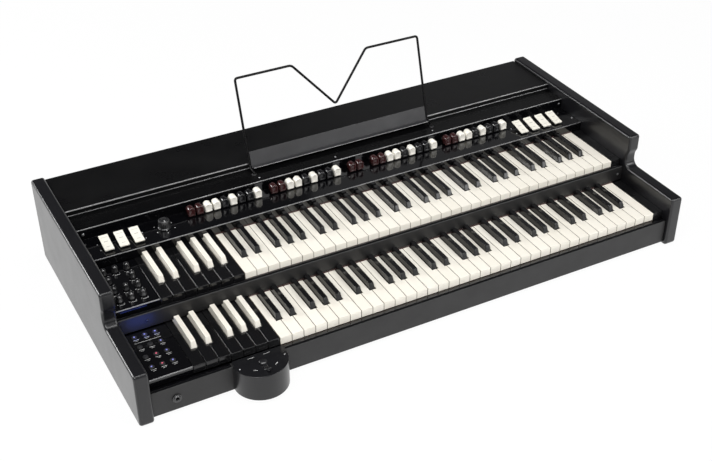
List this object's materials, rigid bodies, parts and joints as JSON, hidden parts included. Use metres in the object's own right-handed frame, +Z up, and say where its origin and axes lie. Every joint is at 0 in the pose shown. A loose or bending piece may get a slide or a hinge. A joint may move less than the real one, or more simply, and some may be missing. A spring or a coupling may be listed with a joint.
{
  "type": "drawbar organ",
  "caption": "Portable two-manual drawbar organ with stepped side cheeks, drawbar panel, rocker tabs, preset keys, half-moon switch and wire music stand.",
  "frame": {"origin": "on the surface the organ stands on, under the middle of its overall box", "axes": "+X to the player's right along the keyboards, +Y away from the player, +Z up"},
  "size_m": [1.174, 0.6266, 0.3493],
  "materials": {
    "cheek_black": "satin black paint",
    "case_black": "satin black lacquer",
    "panel_gloss": "glossy black",
    "base_board": "raw board",
    "frame_black": "satin black",
    "ivory": "smooth",
    "ebony": "smooth gloss",
    "drawbar_brown": "smooth gloss",
    "drawbar_white": "smooth gloss",
    "drawbar_black": "smooth gloss",
    "tab_cream": "smooth gloss",
    "knob_black": "satin",
    "button_rubber": "matte",
    "circuit_board": "solder mask",
    "steel": "bare",
    "stand_black": "satin powder coat",
    "led_blue": "lit lens",
    "led_red": "lit lens",
    "mark_white": "printed marks",
    "felt_brown": "felt",
    "screw_steel": "small screws"
  },
  "bodies": {
    "case": {"left_cheek": "cheek_black", "right_cheek": "cheek_black", "bottom_board": "base_board", "front_rail": "case_black", "mid_rail": "case_black", "drawbar_panel": "panel_gloss", "cap_strip": "case_black", "lid": "case_black", "back_panel": "case_black", "lower_key_frame": "frame_black", "upper_key_frame": "frame_black", "knob_panel": "panel_gloss", "button_panel": "panel_gloss", "main_board": "circuit_board", "power_supply": "steel", "lower_contact_board": "circuit_board", "upper_contact_board": "circuit_board", "connector_plate": "steel", "power_inlet": "knob_black", "knob_board": "knob_black", "half_moon_housing": "cheek_black", "headphone_socket": "knob_black"},
    "music_stand": {"music_stand_wire": "stand_black", "music_stand_shelf": "stand_black"},
    "power_rocker": {"power_switch": "knob_black"},
    "volume": {"volume_knob": "knob_black"},
    "buttons": {"button_mat": "button_rubber"},
    "vibrato": {"vibrato_knob": "knob_black"},
    "half_moon_switch": {"half_moon_lever": "knob_black"},
    "pedal_pair": {"pedal_drawbars": "drawbar_brown"},
    "lower_manual": {"lower_naturals": "ivory", "lower_sharps": "ebony"},
    "lower_presets": {"lower_preset_naturals": "ebony", "lower_preset_sharps": "ivory"},
    "upper_manual": {"upper_naturals": "ivory", "upper_sharps": "ebony"},
    "upper_presets": {"upper_preset_naturals": "ebony", "upper_preset_sharps": "ivory"},
    "last_c": {"upper_last_c_key": "ivory"},
    "last_b": {"upper_last_b_key": "ivory"},
    "last_a_sharp": {"upper_last_a_sharp_key": "ebony"},
    "tab_1_rocker": {"tab_1": "tab_cream"},
    "tab_2_rocker": {"tab_2": "tab_cream"},
    "tab_3_rocker": {"tab_3": "tab_cream"},
    "tab_4_rocker": {"tab_4": "tab_cream"},
    "tab_5_rocker": {"tab_5": "tab_cream"},
    "tab_6_rocker": {"tab_6": "tab_cream"},
    "tab_7_rocker": {"tab_7": "tab_cream"},
    "drawbar_1_slider": {"drawbar_1": "drawbar_brown"},
    "drawbar_2_slider": {"drawbar_2": "drawbar_brown"},
    "drawbar_3_slider": {"drawbar_3": "drawbar_white"},
    "drawbar_4_slider": {"drawbar_4": "drawbar_white"},
    "drawbar_5_slider": {"drawbar_5": "drawbar_black"},
    "drawbar_6_slider": {"drawbar_6": "drawbar_white"},
    "drawbar_7_slider": {"drawbar_7": "drawbar_black"},
    "drawbar_8_slider": {"drawbar_8": "drawbar_black"},
    "drawbar_9_slider": {"drawbar_9": "drawbar_white"},
    "drawbar_set_2_slider": {"drawbar_set_2": "drawbar_white"},
    "drawbar_set_3_slider": {"drawbar_set_3": "drawbar_white"},
    "drawbar_set_4_slider": {"drawbar_set_4": "drawbar_white"}
  },
  "joints": [
    {"name": "music_stand_lift", "type": "slide", "parent": "case", "child": "music_stand", "axis": [0, 0, 1], "range_m": [0, 0.06]},
    {"name": "power_rocker_tilt", "type": "hinge", "parent": "case", "child": "power_rocker", "pos_m": [0.425, 0.30725, 0.068], "axis": [1, 0, 0], "range_deg": [0, 10]},
    {"name": "volume_turn", "type": "hinge", "parent": "case", "child": "volume", "pos_m": [-0.5415, 0.02055, 0.1238], "axis": [0, 0, 1], "range_deg": [-150, 150]},
    {"name": "buttons_press", "type": "slide", "parent": "case", "child": "buttons", "axis": [0, 0, -1], "range_m": [0, 0.001], "stiffness_N_per_m": 2000, "springref_m": -0.0006},
    {"name": "vibrato_turn", "type": "hinge", "parent": "case", "child": "vibrato", "pos_m": [-0.396, 0.08725, 0.1431], "axis": [0, 0, -1], "range_deg": [0, 300]},
    {"name": "half_moon_swing", "type": "hinge", "parent": "case", "child": "half_moon_switch", "pos_m": [-0.358, -0.27525, 0.0603], "axis": [0, 0, 1], "range_deg": [-28, 28]},
    {"name": "tab_1_tilt", "type": "hinge", "parent": "case", "child": "tab_1_rocker", "pos_m": [-0.5131, 0.08075, 0.141], "axis": [-1, 0, 0], "range_deg": [0, 24]},
    {"name": "tab_2_tilt", "type": "hinge", "parent": "case", "child": "tab_2_rocker", "pos_m": [-0.4835, 0.08075, 0.141], "axis": [-1, 0, 0], "range_deg": [0, 24]},
    {"name": "tab_3_tilt", "type": "hinge", "parent": "case", "child": "tab_3_rocker", "pos_m": [-0.4539, 0.08075, 0.141], "axis": [-1, 0, 0], "range_deg": [0, 24]},
    {"name": "tab_4_tilt", "type": "hinge", "parent": "case", "child": "tab_4_rocker", "pos_m": [0.4202, 0.08075, 0.141], "axis": [-1, 0, 0], "range_deg": [0, 24]},
    {"name": "tab_5_tilt", "type": "hinge", "parent": "case", "child": "tab_5_rocker", "pos_m": [0.4498, 0.08075, 0.141], "axis": [-1, 0, 0], "range_deg": [0, 24]},
    {"name": "tab_6_tilt", "type": "hinge", "parent": "case", "child": "tab_6_rocker", "pos_m": [0.4794, 0.08075, 0.141], "axis": [-1, 0, 0], "range_deg": [0, 24]},
    {"name": "tab_7_tilt", "type": "hinge", "parent": "case", "child": "tab_7_rocker", "pos_m": [0.509, 0.08075, 0.141], "axis": [-1, 0, 0], "range_deg": [0, 24]},
    {"name": "drawbar_1_slide", "type": "slide", "parent": "case", "child": "drawbar_1_slider", "axis": [0, -1, 0], "range_m": [0, 0.04]},
    {"name": "drawbar_2_slide", "type": "slide", "parent": "case", "child": "drawbar_2_slider", "axis": [0, -1, 0], "range_m": [0, 0.04]},
    {"name": "drawbar_3_slide", "type": "slide", "parent": "case", "child": "drawbar_3_slider", "axis": [0, -1, 0], "range_m": [0, 0.04]},
    {"name": "drawbar_4_slide", "type": "slide", "parent": "case", "child": "drawbar_4_slider", "axis": [0, -1, 0], "range_m": [0, 0.04]},
    {"name": "drawbar_5_slide", "type": "slide", "parent": "case", "child": "drawbar_5_slider", "axis": [0, -1, 0], "range_m": [0, 0.04]},
    {"name": "drawbar_6_slide", "type": "slide", "parent": "case", "child": "drawbar_6_slider", "axis": [0, -1, 0], "range_m": [0, 0.04]},
    {"name": "drawbar_7_slide", "type": "slide", "parent": "case", "child": "drawbar_7_slider", "axis": [0, -1, 0], "range_m": [0, 0.04]},
    {"name": "drawbar_8_slide", "type": "slide", "parent": "case", "child": "drawbar_8_slider", "axis": [0, -1, 0], "range_m": [0, 0.04]},
    {"name": "drawbar_9_slide", "type": "slide", "parent": "case", "child": "drawbar_9_slider", "axis": [0, -1, 0], "range_m": [0, 0.04]},
    {"name": "drawbar_set_2_slide", "type": "slide", "parent": "case", "child": "drawbar_set_2_slider", "axis": [0, -1, 0], "range_m": [0, 0.04]},
    {"name": "drawbar_set_3_slide", "type": "slide", "parent": "case", "child": "drawbar_set_3_slider", "axis": [0, -1, 0], "range_m": [0, 0.04]},
    {"name": "drawbar_set_4_slide", "type": "slide", "parent": "case", "child": "drawbar_set_4_slider", "axis": [0, -1, 0], "range_m": [0, 0.04]},
    {"name": "pedal_drawbars_slide", "type": "slide", "parent": "case", "child": "pedal_pair", "axis": [0, -1, 0], "range_m": [0, 0.04]},
    {"name": "lower_manual_press", "type": "hinge", "parent": "case", "child": "lower_manual", "pos_m": [-0.3105, -0.03045, 0.06], "axis": [1, 0, 0], "range_deg": [0, 2.6], "stiffness_Nm_per_rad": 45, "springref_deg": -8.59},
    {"name": "lower_presets_press", "type": "hinge", "parent": "case", "child": "lower_presets", "pos_m": [-0.475, -0.03045, 0.06], "axis": [1, 0, 0], "range_deg": [0, 2.6], "stiffness_Nm_per_rad": 9, "springref_deg": -8.59},
    {"name": "upper_manual_press", "type": "hinge", "parent": "case", "child": "upper_manual", "pos_m": [-0.3105, 0.11705, 0.1075], "axis": [1, 0, 0], "range_deg": [0, 2.6], "stiffness_Nm_per_rad": 45, "springref_deg": -8.59},
    {"name": "upper_presets_press", "type": "hinge", "parent": "case", "child": "upper_presets", "pos_m": [-0.475, 0.11705, 0.1075], "axis": [1, 0, 0], "range_deg": [0, 2.6], "stiffness_Nm_per_rad": 9, "springref_deg": -8.59},
    {"name": "last_c_press", "type": "hinge", "parent": "case", "child": "last_c", "pos_m": [-0.3105, 0.11705, 0.1075], "axis": [1, 0, 0], "range_deg": [0, 2.6], "stiffness_Nm_per_rad": 1.2, "springref_deg": -8.59},
    {"name": "last_b_press", "type": "hinge", "parent": "case", "child": "last_b", "pos_m": [-0.3105, 0.11705, 0.1075], "axis": [1, 0, 0], "range_deg": [0, 2.6], "stiffness_Nm_per_rad": 1.2, "springref_deg": -8.59},
    {"name": "last_a_sharp_press", "type": "hinge", "parent": "case", "child": "last_a_sharp", "pos_m": [-0.3105, 0.11705, 0.1075], "axis": [1, 0, 0], "range_deg": [0, 2.6], "stiffness_Nm_per_rad": 1.2, "springref_deg": -8.59}
  ]
}
